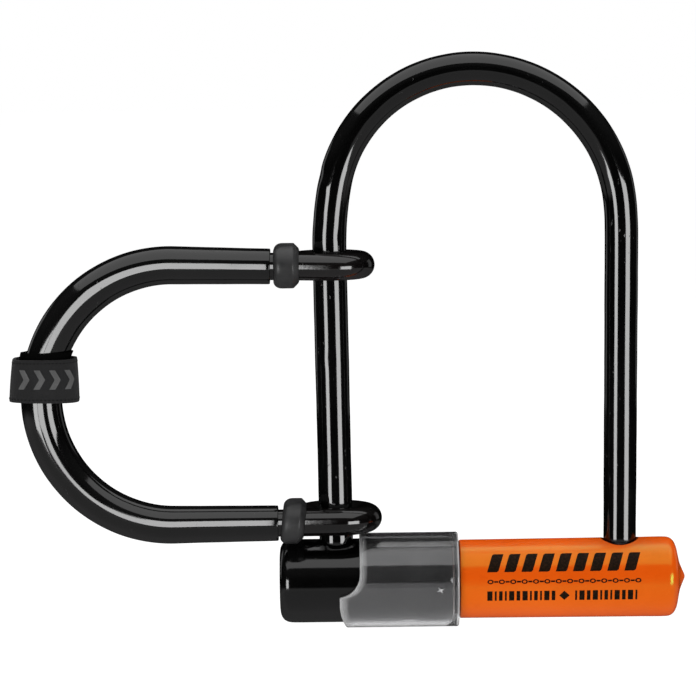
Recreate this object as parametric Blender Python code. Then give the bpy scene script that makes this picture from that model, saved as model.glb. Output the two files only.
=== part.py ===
"""A compact bicycle U lock: sleeved shackle, crossbar with a covered key cylinder and two
deadbolts, and a D shaped extender loop that rides on the left leg.

Lengths are in millimetres and become metres when a mesh is made. The working frame has its
origin on the crossbar's axis, midway between the legs: +X runs along the crossbar to the
right, +Y to the back, +Z up the shackle. BASE moves it to the middle of the foot of the
object. The lock is closed, with its bolts drawn back."""

import math

import bmesh
import bpy
from mathutils import Vector

# placing
BASE = Vector((-47.35, -2.0, -17.5))

# shackle
HALF_SPACING = 52.35  # leg's axis from the middle, at the height of the crossbar's axis
SPLAY = math.radians(0.62)
LEG_TOP = 123.0  # the legs are straight up to here
ARCH_X, ARCH_TOP = -0.8, 188.7  # highest point of the bend's middle line
ARCH_LEFT_R, ARCH_RIGHT_R = 51.6, 54.2
ARCH_START = math.radians(10)
BAR_R = 5.3
BAR_SLEEVE_IN = 5.55
BAR_SLEEVE_OUT = 6.15
FOOT_Z = -8.3
SLEEVE_FOOT_Z = 13.6
NOTCH_DEPTH = 3.6
NOTCH_HALF = 5.2

# crossbar
TUBE_IN, TUBE_OUT, TUBE_HALF = 10.3, 13.0, 71.0
SKIN_IN = 13.3
JACKET_R = 15.45
JACKET_LEFT, JACKET_RIGHT = -73.6, -9.7
ORANGE_LEFT, ORANGE_RIGHT = -7.1, 74.4
ORANGE_R = 14.5
LEG_HOLE_R = 7.0

# dust cover
COVER_IN, COVER_OUT = 16.1, 17.5
COVER_LEFT, COVER_EDGE, COVER_RIGHT = -51.5, -44.0, -7.5
COVER_LIP = 13.7
WINDOW_TILT = math.radians(-30)

# lock cylinder, its axis upright at CYL_X with the keyway below
CYL_X = -26.0
DISCS = 7
DISC_T, SPACER_T, STACK_GAP = 1.0, 0.4, 0.12
DISC_R, SPACER_R = 4.4, 3.7
STACK_FOOT = -10.08
CAM_PIN_ORBIT = 2.6
CAM_PIN_R = 0.8
TAIL_LOW, TAIL_HIGH = 7.0, 8.5

# extender loop
ROD_R = 5.0
EYE_IN = 6.8
EYE_R = EYE_IN + ROD_R
TAIL_Y = -EYE_R + 2 * ROD_R + 0.6
TAIL_TURN = math.radians(75)
TAIL_BEND = (EYE_R * math.cos(TAIL_TURN) - TAIL_Y) / (1 - math.cos(TAIL_TURN))
LOW_EYE, HIGH_EYE = (-52.3, 23.5), (-53.93, 117.35)  # x and z of each eye's centre
D_CENTRE_X, D_MID_Z = -111.9, 71.05
D_R = 47.7
D_SLEEVE_IN = 5.3
D_SLEEVE_THIN, D_SLEEVE_THICK = 6.5, 7.55
D_SLEEVE_LOW_X, D_SLEEVE_HIGH_X = -73.6, -75.3

# strap round the far side of the D
STRAP_X, STRAP_LOW, STRAP_HIGH = -158.5, 68.2, 85.0
STRAP_HALF_X, STRAP_HALF_Y, STRAP_T = 12.8, 9.7, 1.6

BLACK_GLOSS = ((0.010, 0.010, 0.011), 0.0, 0.12)
BLACK_RUBBER = ((0.040, 0.040, 0.042), 0.0, 0.62)
BLACK_CLOTH = ((0.030, 0.030, 0.032), 0.0, 0.95)
ORANGE = ((0.80, 0.125, 0.012), 0.0, 0.30)
SMOKE = ((0.16, 0.16, 0.17), 0.0, 0.10)
STEEL = ((0.56, 0.57, 0.58), 1.0, 0.30)
DARK_STEEL = ((0.22, 0.22, 0.23), 1.0, 0.38)
BRASS = ((0.78, 0.60, 0.28), 1.0, 0.25)
GUIDE = ((0.72, 0.71, 0.66), 0.0, 0.45)


def clear_scene():
    for obj in list(bpy.data.objects):
        bpy.data.objects.remove(obj, do_unlink=True)


def material(name, look):
    colour, metallic, roughness = look
    made = bpy.data.materials.new(name)
    made.use_nodes = True
    shader = made.node_tree.nodes["Principled BSDF"]
    shader.inputs["Base Color"].default_value = (*colour, 1.0)
    shader.inputs["Metallic"].default_value = metallic
    shader.inputs["Roughness"].default_value = roughness
    made.diffuse_color = (*colour, 1.0)
    return made


def solid(name, points, faces, look, pivot=(0.0, 0.0, 0.0), cutter=False):
    """One closed mesh from points in the working frame, its origin at pivot."""
    pivot = Vector(pivot)
    mesh = bpy.data.meshes.new(name)
    mesh.from_pydata([(Vector(p) - pivot) * 0.001 for p in points], [], faces)
    work = bmesh.new()
    work.from_mesh(mesh)
    bmesh.ops.recalc_face_normals(work, faces=work.faces)
    work.to_mesh(mesh)
    work.free()
    obj = bpy.data.objects.new(name, mesh)
    obj.location = (pivot - BASE) * 0.001
    bpy.context.scene.collection.objects.link(obj)
    if cutter:
        obj.hide_render = True
        obj.display_type = "WIRE"
    else:
        mesh.materials.append(material(name, look))
    return obj


def combine(obj, other, operation="DIFFERENCE"):
    step = obj.modifiers.new(other.name, "BOOLEAN")
    step.operation = operation
    step.solver = "EXACT"
    step.object = other


def on_axis(axis, centre, along, a, b):
    """A point at height `along` on the axis, off it by a and b."""
    off = {"X": (along, a, b), "Y": (b, along, a), "Z": (a, b, along)}[axis]
    return Vector(centre) + Vector(off)


def revolve(name, profile, axis, centre, sides, look=None, pivot=(0, 0, 0), cutter=False):
    """A profile of (along, radius) turned about an axis. Radius 0 at both ends makes a solid
    body, and anything else a ring whose profile closes on itself."""
    points, rings = [], []
    for along, radius in profile:
        count = 1 if radius == 0 else sides
        rings.append(range(len(points), len(points) + count))
        for k in range(count):
            turn = 2 * math.pi * (k + 0.5) / sides
            points.append(
                on_axis(axis, centre, along, radius * math.cos(turn), radius * math.sin(turn))
            )
    pairs = list(zip(rings, rings[1:]))
    if len(rings[0]) > 1:
        pairs.append((rings[-1], rings[0]))
    faces = []
    for low, high in pairs:
        for k in range(sides):
            n = (k + 1) % sides
            face = [low[k % len(low)], low[n % len(low)], high[n % len(high)], high[k % len(high)]]
            faces.append(list(dict.fromkeys(face)))
    return solid(name, points, faces, look, pivot, cutter)


def rod(name, axis, centre, radius, low, high, sides=24, look=None, cutter=False, edge=0.0):
    """A plain round bar, with a small chamfer when edge is given."""
    profile = [(low, 0), (low, radius - edge), (high, radius - edge), (high, 0)]
    if edge:
        profile[2:2] = [(low + edge, radius), (high - edge, radius)]
    return revolve(name, profile, axis, centre, sides, look, cutter=cutter)


def prism(name, outline, axis, low, high, look=None, cutter=False):
    """A flat outline pushed along an axis: (y, z) for X, (x, z) for Y, (x, y) for Z."""
    count = len(outline)
    at = {
        "X": lambda a, b, h: (h, a, b),
        "Y": lambda a, b, h: (a, h, b),
        "Z": lambda a, b, h: (a, b, h),
    }[axis]
    points = [at(a, b, h) for h in (low, high) for a, b in outline]
    faces = [list(range(count)), list(range(count, 2 * count))]
    faces += [[k, (k + 1) % count, (k + 1) % count + count, k + count] for k in range(count)]
    return solid(name, points, faces, look, cutter=cutter)


def block(name, low, high, look=None, cutter=False):
    (x0, y0, z0), (x1, y1, z1) = low, high
    outline = [(x0, y0), (x1, y0), (x1, y1), (x0, y1)]
    return prism(name, outline, "Z", z0, z1, look, cutter)


def sweep(name, path, outer, sides, look=None, inner=None, pivot=(0, 0, 0), cutter=False):
    """A round bar, or a hose when inner is given, along a path. outer is one radius or one
    for each point."""
    path = [Vector(p) for p in path]
    radii = outer if isinstance(outer, list) else [outer] * len(path)
    tangents = [
        (path[min(k + 1, len(path) - 1)] - path[max(k - 1, 0)]).normalized()
        for k in range(len(path))
    ]
    side = tangents[0].orthogonal().normalized()
    points, skins = [], []
    frames = []
    for tangent in tangents:
        side = (side - tangent * side.dot(tangent)).normalized()
        frames.append((side.copy(), tangent.cross(side)))
    for inside in (False, True) if inner else (False,):
        rings = []
        for (a, b), spot, radius in zip(frames, path, radii):
            reach = inner if inside else radius
            rings.append(range(len(points), len(points) + sides))
            for k in range(sides):
                turn = 2 * math.pi * (k + 0.5) / sides
                points.append(spot + (a * math.cos(turn) + b * math.sin(turn)) * reach)
        skins.append(rings)
    faces = []
    for rings in skins:
        for low, high in zip(rings, rings[1:]):
            for k in range(sides):
                n = (k + 1) % sides
                faces.append([low[k], low[n], high[n], high[k]])
    for end in (0, -1):
        if inner:
            out, into = skins[0][end], skins[1][end]
            for k in range(sides):
                n = (k + 1) % sides
                faces.append([out[k], out[n], into[n], into[k]])
        else:
            faces.append(list(skins[0][end]))
    return solid(name, points, faces, look, pivot, cutter)


def arc(centre, radius, start, end, steps, plane):
    """Points on a circle. plane gives the two unit directions that it lies in."""
    u, v = Vector(plane[0]), Vector(plane[1])
    turns = [start + (end - start) * k / steps for k in range(steps + 1)]
    return [Vector(centre) + (u * math.cos(t) + v * math.sin(t)) * radius for t in turns]


def leg_x(side, z):
    return side * (HALF_SPACING + z * math.tan(SPLAY))


def leg_to_arch(side, radius, steps):
    """A leg's straight top eased into the bend: points from the leg up to the bend's arc."""
    start = Vector((leg_x(side, LEG_TOP), 0, LEG_TOP))
    centre = Vector((ARCH_X, 0, ARCH_TOP - radius))
    end = centre + Vector((side * math.cos(ARCH_START), 0, math.sin(ARCH_START))) * radius
    reach = (end - start).length
    leave = Vector((side * math.sin(SPLAY), 0, math.cos(SPLAY))) * reach
    arrive = Vector((-side * math.sin(ARCH_START), 0, math.cos(ARCH_START))) * reach
    points = []
    for k in range(steps):
        t = k / steps
        points.append(
            start * (2 * t**3 - 3 * t**2 + 1)
            + leave * (t**3 - 2 * t**2 + t)
            + end * (3 * t**2 - 2 * t**3)
            + arrive * (t**3 - t**2)
        )
    return points


def shackle_path(foot_z):
    """The bend is a little tighter on the left, and its two arcs meet at the top."""
    flat = ((1, 0, 0), (0, 0, 1))
    left = arc(
        (ARCH_X, 0, ARCH_TOP - ARCH_LEFT_R), ARCH_LEFT_R, math.pi - ARCH_START, math.pi / 2, 11, flat
    )
    right = arc(
        (ARCH_X, 0, ARCH_TOP - ARCH_RIGHT_R), ARCH_RIGHT_R, math.pi / 2, ARCH_START, 11, flat
    )
    feet = [Vector((leg_x(side, foot_z), 0, foot_z)) for side in (-1, 1)]
    ease = [leg_to_arch(-1, ARCH_LEFT_R, 4), leg_to_arch(1, ARCH_RIGHT_R, 4)[::-1]]
    return [feet[0], *ease[0], *left, *right[1:], *ease[1], feet[1]]


def eye_path(eye_x, z, tail_end_x):
    """From the tail's end, out and round the back and right of the leg, to the front."""
    tail_x = eye_x - (EYE_R + TAIL_BEND) * math.sin(TAIL_TURN)
    flat = ((1, 0, 0), (0, 1, 0))
    bend = arc(
        (tail_x, TAIL_Y + TAIL_BEND, z), TAIL_BEND, -math.pi / 2, -math.pi / 2 + TAIL_TURN, 6, flat
    )
    ring = arc((eye_x, 0, z), EYE_R, math.pi / 2 + TAIL_TURN, -math.pi / 2, 20, flat)
    return [Vector((tail_end_x, TAIL_Y, z)), *bend, *ring[1:]]


def far_bend():
    middle = (D_CENTRE_X, -EYE_R, D_MID_Z)
    return arc(middle, D_R, -math.pi / 2, -3 * math.pi / 2, 26, ((1, 0, 0), (0, 0, 1)))


def arm_point(x, upper):
    """A point on an arm of the D, which leans a little between the bend and its eye."""
    eye_x, eye_z = HIGH_EYE if upper else LOW_EYE
    bend_z = D_MID_Z + (D_R if upper else -D_R)
    share = (x - D_CENTRE_X) / (eye_x - D_CENTRE_X)
    return Vector((x, -EYE_R, bend_z + (eye_z - bend_z) * share))


def rod_path():
    low = eye_path(*LOW_EYE, -71.4)
    high = eye_path(*HIGH_EYE, -72.9)
    return [*low, *far_bend(), *reversed(high)]


def make_shackle():
    bar = sweep("shackle_bar", shackle_path(FOOT_Z), BAR_R, 20, STEEL)
    for side, word in ((-1, "left"), (1, "right")):
        floor = HALF_SPACING - BAR_R + NOTCH_DEPTH
        xs = sorted((side * floor, side * (HALF_SPACING - 12)))
        notch = block(
            f"cut_{word}_notch", (xs[0], -7, -NOTCH_HALF), (xs[1], 7, NOTCH_HALF), cutter=True
        )
        combine(bar, notch)
    sweep(
        "shackle_sleeve",
        shackle_path(SLEEVE_FOOT_Z),
        BAR_SLEEVE_OUT,
        24,
        BLACK_GLOSS,
        inner=BAR_SLEEVE_IN,
    )


def make_crossbar():
    ring = [
        (-TUBE_HALF, TUBE_IN),
        (-TUBE_HALF, TUBE_OUT),
        (TUBE_HALF, TUBE_OUT),
        (TUBE_HALF, TUBE_IN),
    ]
    tube = revolve("crossbar_tube", ring, "X", (0, 0, 0), 40, STEEL)
    jacket = revolve(
        "end_jacket",
        [
            (JACKET_LEFT, 0),
            (JACKET_LEFT, 10.5),
            (JACKET_LEFT + 0.5, 12.6),
            (JACKET_LEFT + 1.4, 14.2),
            (JACKET_LEFT + 2.8, 15.0),
            (JACKET_LEFT + 4.6, JACKET_R),
            (JACKET_RIGHT, JACKET_R),
            (JACKET_RIGHT, SKIN_IN),
            (-71.4, SKIN_IN),
            (-71.4, 0),
        ],
        "X",
        (0, 0, 0),
        48,
        BLACK_GLOSS,
    )
    orange = revolve(
        "crossbar_sleeve",
        [
            (71.4, 0),
            (71.4, SKIN_IN),
            (ORANGE_LEFT, SKIN_IN),
            (ORANGE_LEFT, ORANGE_R - 0.4),
            (ORANGE_LEFT + 0.5, ORANGE_R),
            (ORANGE_RIGHT - 6.0, ORANGE_R + 0.3),
            (ORANGE_RIGHT - 2.8, ORANGE_R - 0.3),
            (ORANGE_RIGHT - 1.3, ORANGE_R - 2.3),
            (ORANGE_RIGHT - 0.5, ORANGE_R - 5.2),
            (ORANGE_RIGHT, 5.0),
            (ORANGE_RIGHT + 1.2, 2.6),
            (ORANGE_RIGHT + 2.0, 1.0),
            (ORANGE_RIGHT + 2.2, 0),
        ],
        "X",
        (0, 0, 0),
        48,
        ORANGE,
    )
    for side, word, skin in ((-1, "left", jacket), (1, "right", orange)):
        x = side * HALF_SPACING
        combine(tube, rod(f"cut_{word}_leg", "Z", (x, 0, 0), 6.0, 6, 16, cutter=True))
        combine(skin, rod(f"cut_{word}_mouth", "Z", (x, 0, 0), LEG_HOLE_R, 8, 18, 32, cutter=True))
        plug = rod(
            f"{word}_end_plug", "X", (side * 66.75, 0, 0), 9.95, -4.05, 4.05, 32, STEEL, edge=0.5
        )
        hole = rod(f"cut_{word}_pin", "Z", (side * 66.75, 0, 0), 1.85, -14, 14, 16, cutter=True)
        combine(tube, hole)
        combine(plug, hole)
        rod(f"{word}_plug_pin", "Z", (side * 66.75, 0, 0), 1.5, -12.6, 12.6, 16, STEEL, edge=0.3)
        socket = revolve(
            f"{word}_leg_socket",
            [(-6.6, 6.0), (-6.6, 7.5), (6.6, 7.5), (6.6, 6.4), (6.2, 6.0)],
            "Z",
            (x, 0, 0),
            28,
            STEEL,
        )
        mouth = rod(
            f"cut_{word}_bolt_mouth",
            "X",
            (x - side * 7, 0, 0),
            4.6,
            -4,
            4,
            24,
            cutter=True,
        )
        combine(socket, mouth)
    combine(
        jacket, rod("cut_jacket_keyway", "Z", (CYL_X, 0, 0), 8.0, -18, -8, 32, cutter=True)
    )
    combine(tube, rod("cut_tube_keyway", "Z", (CYL_X, 0, 0), 7.55, -16, -5, 28, cutter=True))
    combine(tube, rod("cut_tube_pin", "Y", (CYL_X + 7.2, 0, -6.5), 1.3, -14, 14, 16, cutter=True))
    for word, low, high in (("left", -44.4, -41.5), ("right", 4.0, 38.0)):
        guide = [(low, 4.6), (low, 9.6), (low + 0.3, 9.9)]
        guide += [(high - 0.3, 9.9), (high, 9.6), (high, 4.6)]
        revolve(f"{word}_bolt_guide", guide, "X", (0, 0, 0), 32, GUIDE)


def make_cover():
    """A smoked shell. Its tongue covers the foot of the jacket, and a round window in its
    lower back comes over the keyway when the cover is turned by 60 degrees."""
    cover = revolve(
        "dust_cover",
        [
            (COVER_LEFT, COVER_IN),
            (COVER_LEFT, COVER_OUT - 0.3),
            (COVER_LEFT + 0.3, COVER_OUT),
            (COVER_RIGHT - 0.3, COVER_OUT),
            (COVER_RIGHT, COVER_OUT - 0.3),
            (COVER_RIGHT, COVER_LIP),
            (COVER_RIGHT - 1.8, COVER_LIP),
            (COVER_RIGHT - 1.8, COVER_IN),
        ],
        "X",
        (0, 0, 0),
        56,
        SMOKE,
    )
    step = [(-56.0, -3.9), (-51.0, -3.8), (-48.6, -3.1), (-47.3, -2.25), (-45.85, -0.8)]
    step += [(-44.75, 1.1), (-44.2, 2.9), (COVER_EDGE, 5.0), (COVER_EDGE, 20.0), (-56.0, 20.0)]
    combine(cover, prism("cut_cover_step", step, "Y", -20, 20, cutter=True))
    corner = [(-53.0, -18.0), (-48.8, -18.0), (-49.5, -16.2), (-50.2, -14.3), (-50.9, -11.9)]
    corner += [(-51.45, -8.5), (-53.0, -8.5)]
    combine(cover, prism("cut_cover_corner", corner, "Y", -20, 20, cutter=True))
    points = []
    for along in (8.0, 20.0):
        for k in range(28):
            turn = 2 * math.pi * k / 28
            across, up = 8.0 * math.cos(turn), 8.0 * math.sin(turn)
            c, s = math.cos(WINDOW_TILT), math.sin(WINDOW_TILT)
            points.append((CYL_X + across, along * c - up * s, along * s + up * c))
    faces = [list(range(28)), list(range(28, 56))]
    faces += [[k, (k + 1) % 28, (k + 1) % 28 + 28, k + 28] for k in range(28)]
    combine(cover, solid("cut_cover_window", points, faces, None, cutter=True))


def make_cylinder():
    at = (CYL_X, 0, 0)
    housing = revolve(
        "cylinder_housing",
        [(-11.2, 5.55), (-11.2, 7.2), (3.4, 7.2), (3.4, 2.95), (2.2, 2.95), (2.2, 5.55)],
        "Z",
        at,
        28,
        BRASS,
    )
    groove = block("cut_bar_groove", (CYL_X - 6.45, -0.9, -10.2), (CYL_X - 4.5, 0.9, 1.2), cutter=True)
    combine(housing, groove)
    combine(
        housing, rod("cut_pin_groove", "Y", (CYL_X + 7.2, 0, -6.5), 1.3, -14, 14, 16, cutter=True)
    )
    rod("cylinder_pin", "Y", (CYL_X + 7.2, 0, -6.5), 1.0, -11.0, 11.0, 14, STEEL, edge=0.25)
    revolve(
        "cylinder_face_plate",
        [(-12.7, 2.9), (-12.7, 6.6), (-12.2, 7.1), (-11.5, 7.1), (-11.5, 2.9)],
        "Z",
        at,
        28,
        DARK_STEEL,
    )
    core = revolve(
        "cylinder_core",
        [
            (-11.0, 0),
            (-11.0, 5.2),
            (1.9, 5.2),
            (1.9, 2.6),
            (3.65, 2.6),
            (3.65, 2.0),
            (4.75, 2.0),
            (4.75, 2.6),
            (5.1, 2.6),
            (5.1, 0),
        ],
        "Z",
        at,
        28,
        STEEL,
        pivot=at,
    )
    combine(core, rod("cut_core_room", "Z", at, 4.75, -10.2, 0.9, 28, cutter=True))
    keyway = block(
        "cut_core_keyway", (CYL_X - 2.4, -0.85, -12), (CYL_X + 2.4, 0.85, -9.5), cutter=True
    )
    combine(core, keyway)
    slot = block("cut_core_slot", (CYL_X - 0.85, 3.5, -9.8), (CYL_X + 0.85, 6, 0.6), cutter=True)
    combine(core, slot)
    stub = block("join_core_stub", (CYL_X - 1.2, -1.2, 4.9), (CYL_X + 1.2, 1.2, 5.9), cutter=True)
    combine(core, stub, "UNION")

    pitch = DISC_T + SPACER_T + 2 * STACK_GAP
    for k in range(DISCS):
        low = STACK_FOOT + k * pitch
        disc = revolve(
            f"lock_disc_{k + 1}",
            [(low, 0), (low, DISC_R), (low + DISC_T, DISC_R), (low + DISC_T, 0)],
            "Z",
            at,
            24,
            BRASS,
            pivot=at,
        )
        tilt = math.radians((-18, 9, 0, 18, -9, 9, 0)[k])
        corners = [(-2.3, -0.75), (2.3, -0.75), (2.3, 0.75), (-2.3, 0.75)]
        turned = [
            (
                CYL_X + a * math.cos(tilt) - b * math.sin(tilt),
                a * math.sin(tilt) + b * math.cos(tilt),
            )
            for a, b in corners
        ]
        combine(
            disc, prism(f"cut_disc_{k + 1}_key", turned, "Z", low - 1, low + 2, cutter=True)
        )
        notch = block(
            f"cut_disc_{k + 1}_notch",
            (CYL_X - 0.85, 3.75, low - 1),
            (CYL_X + 0.85, 6, low + 2),
            cutter=True,
        )
        combine(disc, notch)
        if k < DISCS - 1:
            foot = low + DISC_T + STACK_GAP
            revolve(
                f"disc_spacer_{k + 1}",
                [(foot, 2.6), (foot, SPACER_R), (foot + SPACER_T, SPACER_R), (foot + SPACER_T, 2.6)],
                "Z",
                at,
                20,
                STEEL,
                pivot=at,
            )
    block("sidebar", (CYL_X - 0.5, 4.05, -9.5), (CYL_X + 0.5, 5.1, 0.3), STEEL)

    cam = rod("drive_cam", "Z", at, 3.9, 5.4, 6.7, 28, STEEL, edge=0.2)
    combine(
        cam,
        block("cut_cam_socket", (CYL_X - 1.5, -1.5, 5), (CYL_X + 1.5, 1.5, 6.15), cutter=True),
    )
    for k, turn in enumerate((math.pi / 4, 5 * math.pi / 4)):
        spot = (
            CYL_X + CAM_PIN_ORBIT * math.cos(turn),
            CAM_PIN_ORBIT * math.sin(turn),
            0,
        )
        combine(
            cam, rod(f"join_cam_pin_{k}", "Z", spot, CAM_PIN_R, 6.4, 8.4, 14, cutter=True), "UNION"
        )
    clip = [
        (CYL_X + r * math.cos(t), r * math.sin(t))
        for r, turns in ((3.7, range(0, 11)), (2.3, range(10, -1, -1)))
        for t in (math.radians(35 + 29 * k) for k in turns)
    ]
    prism("cam_circlip", clip, "Z", 3.95, 4.5, STEEL)


def make_deadbolts():
    """Each bolt is a round bar with a riser and a forked tail that lies over the cam. The right
    one is mostly a thin link, with a full head where it meets the leg."""
    pin = CAM_PIN_ORBIT * math.cos(math.pi / 4)
    left = rod("left_deadbolt", "X", (0, 0, 0), 4.2, -46.3, -35.5, 24, STEEL, edge=0.6)
    riser = block("join_left_riser", (-37.2, -4.2, -4.2), (-33.8, 4.2, TAIL_HIGH), cutter=True)
    tail = block(
        "join_left_tail", (-36.0, 0.35, TAIL_LOW), (CYL_X + 3.9, 4.3, TAIL_HIGH), cutter=True
    )
    fork = block(
        "cut_left_fork", (CYL_X + pin - 1.1, -1, 6), (CYL_X + pin + 1.1, 3.75, 10), cutter=True
    )
    for other, operation in ((riser, "UNION"), (tail, "UNION"), (fork, "DIFFERENCE")):
        combine(left, other, operation)
    right = revolve(
        "right_deadbolt",
        [
            (-15.5, 0),
            (-15.5, 2.2),
            (29.4, 2.2),
            (31.0, 3.6),
            (31.6, 4.2),
            (45.7, 4.2),
            (46.3, 3.6),
            (46.3, 0),
        ],
        "X",
        (0, 0, 0),
        24,
        STEEL,
    )
    riser = block("join_right_riser", (-16.9, -4.2, -4.2), (-13.4, 4.2, TAIL_HIGH), cutter=True)
    tail = block(
        "join_right_tail", (CYL_X - 3.9, -4.3, TAIL_LOW), (-15.0, -0.35, TAIL_HIGH), cutter=True
    )
    fork = block(
        "cut_right_fork", (CYL_X - pin - 1.1, -3.75, 6), (CYL_X - pin + 1.1, 1, 10), cutter=True
    )
    for other, operation in ((riser, "UNION"), (tail, "UNION"), (fork, "DIFFERENCE")):
        combine(right, other, operation)


def collar(name, middle_x, width, half, z, holes):
    """A moulded ring, an oval with round ends, over the rod and the eye's tail."""
    middle_y = (TAIL_Y - EYE_R) / 2
    flat = (TAIL_Y + EYE_R) / 2
    stations = [
        (-width / 2, 2.6),
        (-width / 2 + 2.3, 0.25),
        (-width / 2 + 2.9, 0.0),
        (width / 2 - 2.0, 0.0),
        (width / 2 - 1.4, 0.25),
        (width / 2, 2.0),
    ]
    steps, points, faces = 12, [], []
    for along, inset in stations:
        reach = half - inset
        for side, start in ((1, -math.pi / 2), (-1, math.pi / 2)):
            for k in range(steps + 1):
                turn = start + math.pi * k / steps
                y = middle_y + side * flat + reach * math.cos(turn)
                points.append((middle_x + along, y, z + reach * math.sin(turn)))
    count = 2 * (steps + 1)
    for row in range(len(stations) - 1):
        for k in range(count):
            n = (k + 1) % count
            base = row * count
            faces.append([base + k, base + n, base + count + n, base + count + k])
    last = (len(stations) - 1) * count
    faces += [list(range(count)), list(range(last, last + count))]
    made = solid(name, points, faces, BLACK_RUBBER)
    combine(made, holes)


def make_extender():
    path = rod_path()
    sweep("extender_bar", path, ROD_R, 20, BLACK_GLOSS)
    holes = sweep("cut_collar_holes", path, ROD_R + 0.25, 24, cutter=True)
    collar("lower_collar", -67.7, 8.6, 7.65, arm_point(-67.7, False).z, holes)
    collar("upper_collar", -69.35, 9.4, 7.95, arm_point(-69.35, True).z, holes)
    low_run = [arm_point(x, False) for x in (D_SLEEVE_LOW_X, D_SLEEVE_LOW_X - 0.8, -93)]
    high_run = [arm_point(x, True) for x in (-94, D_SLEEVE_HIGH_X - 0.8, D_SLEEVE_HIGH_X)]
    run = [*low_run, *far_bend(), *high_run]
    far_x = D_CENTRE_X - D_R
    radii = []
    for spot in run:
        share = min(1.0, max(0.0, (D_SLEEVE_LOW_X - spot.x) / (D_SLEEVE_LOW_X - far_x)))
        radii.append(D_SLEEVE_THIN + (D_SLEEVE_THICK - D_SLEEVE_THIN) * share)
    radii[0] = radii[-1] = D_SLEEVE_THIN - 0.35
    sweep("extender_sleeve", run, radii, 24, BLACK_GLOSS, inner=D_SLEEVE_IN)


def oval(half_x, half_y, start=0.0, end=360.0, steps=40):
    turns = [math.radians(start + (end - start) * k / steps) for k in range(steps + 1)]
    return [(STRAP_X + half_x * math.cos(t), -EYE_R + half_y * math.sin(t)) for t in turns]


def make_strap():
    """A woven band laid in a flat oval round the D, and its inner end, tucked in at the left."""
    points, faces, rings = [], [], []
    for half_x, half_y in (
        (STRAP_HALF_X, STRAP_HALF_Y),
        (STRAP_HALF_X - STRAP_T, STRAP_HALF_Y - STRAP_T),
    ):
        for z in (STRAP_LOW, STRAP_HIGH):
            rings.append(len(points))
            points += [(x, y, z) for x, y in oval(half_x, half_y)[:-1]]
    out_low, out_high, in_low, in_high = rings
    for a, b in ((out_low, out_high), (out_high, in_high), (in_high, in_low), (in_low, out_low)):
        for k in range(40):
            n = (k + 1) % 40
            faces.append([a + k, a + n, b + n, b + k])
    solid("strap_band", points, faces, BLACK_CLOTH)
    tab = oval(10.85, 7.75, 178, 214, 6) + oval(9.95, 6.85, 214, 178, 6)
    prism("strap_tab", tab, "Z", 76.0, 86.6, BLACK_CLOTH)


clear_scene()
make_shackle()
make_crossbar()
make_cover()
make_cylinder()
make_deadbolts()
make_extender()
make_strap()
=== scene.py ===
"""Looks for a U lock with an extender loop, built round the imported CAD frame.

Shapes are worked out in millimetres in the lock's own directions: X along the crossbar, Y to
the back, Z up the shackle, from the middle of the crossbar's tube. spot() turns a point into
metres in the shared frame."""

import math

import bmesh
import bpy
from mathutils import Matrix, Vector


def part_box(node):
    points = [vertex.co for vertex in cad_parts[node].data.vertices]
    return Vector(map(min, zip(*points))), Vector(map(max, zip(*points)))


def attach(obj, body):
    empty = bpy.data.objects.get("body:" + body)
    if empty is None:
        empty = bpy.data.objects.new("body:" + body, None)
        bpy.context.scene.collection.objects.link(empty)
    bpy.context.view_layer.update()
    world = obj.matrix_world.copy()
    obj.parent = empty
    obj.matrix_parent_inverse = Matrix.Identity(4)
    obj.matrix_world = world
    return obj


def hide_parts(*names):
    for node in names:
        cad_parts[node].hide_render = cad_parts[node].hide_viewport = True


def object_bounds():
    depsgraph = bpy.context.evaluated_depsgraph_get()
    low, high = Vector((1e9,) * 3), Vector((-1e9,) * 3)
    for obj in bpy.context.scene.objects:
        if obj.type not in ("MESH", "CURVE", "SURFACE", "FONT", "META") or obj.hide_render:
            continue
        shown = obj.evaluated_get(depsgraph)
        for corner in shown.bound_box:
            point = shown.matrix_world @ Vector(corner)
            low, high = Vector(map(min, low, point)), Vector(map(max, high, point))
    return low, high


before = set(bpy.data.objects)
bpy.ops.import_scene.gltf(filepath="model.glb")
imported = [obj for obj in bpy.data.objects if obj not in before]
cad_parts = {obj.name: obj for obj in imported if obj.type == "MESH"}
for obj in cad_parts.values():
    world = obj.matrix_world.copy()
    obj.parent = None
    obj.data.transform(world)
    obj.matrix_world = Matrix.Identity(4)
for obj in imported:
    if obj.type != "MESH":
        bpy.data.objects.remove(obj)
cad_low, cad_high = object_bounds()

tube_low, tube_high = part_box("crossbar_tube")
ORIGIN = (tube_low + tube_high) / 2


def spot(point):
    return ORIGIN + Vector(point) * 0.001


def span(node):
    """A CAD node's lowest and highest corner, in millimetres from the tube's middle."""
    low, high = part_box(node)
    return (low - ORIGIN) * 1000, (high - ORIGIN) * 1000


# the CAD's own dimensions
LEG_X = (span("right_leg_socket")[0].x + span("right_leg_socket")[1].x) / 2
SPLAY = math.radians(0.62)
LEG_TOP = 123.0
ARCH_X, ARCH_TOP = -0.8, 188.7
ARCH_LEFT_R, ARCH_RIGHT_R = 51.6, 54.2
ARCH_START = math.radians(10)
LEG_R, LEG_BORE = 6.15, 5.55
LEG_SLEEVE_FOOT = span("shackle_sleeve")[0].z
ROD_R, EYE_R = 5.0, 11.8
TAIL_Y = -EYE_R + 2 * ROD_R + 0.6
TAIL_TURN = math.radians(75)
TAIL_BEND = (EYE_R * math.cos(TAIL_TURN) - TAIL_Y) / (1 - math.cos(TAIL_TURN))
LOW_EYE, HIGH_EYE = (-52.3, 23.5), (-53.93, 117.35)
D_CENTRE_X, D_MID_Z, D_R = -111.9, 71.05, 47.7
D_BORE, D_THIN, D_THICK = 5.3, 6.5, 7.55
D_LOW_X, D_HIGH_X = -73.6, -75.3
TUBE_END, TIP = 71.4, 0.01
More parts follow.
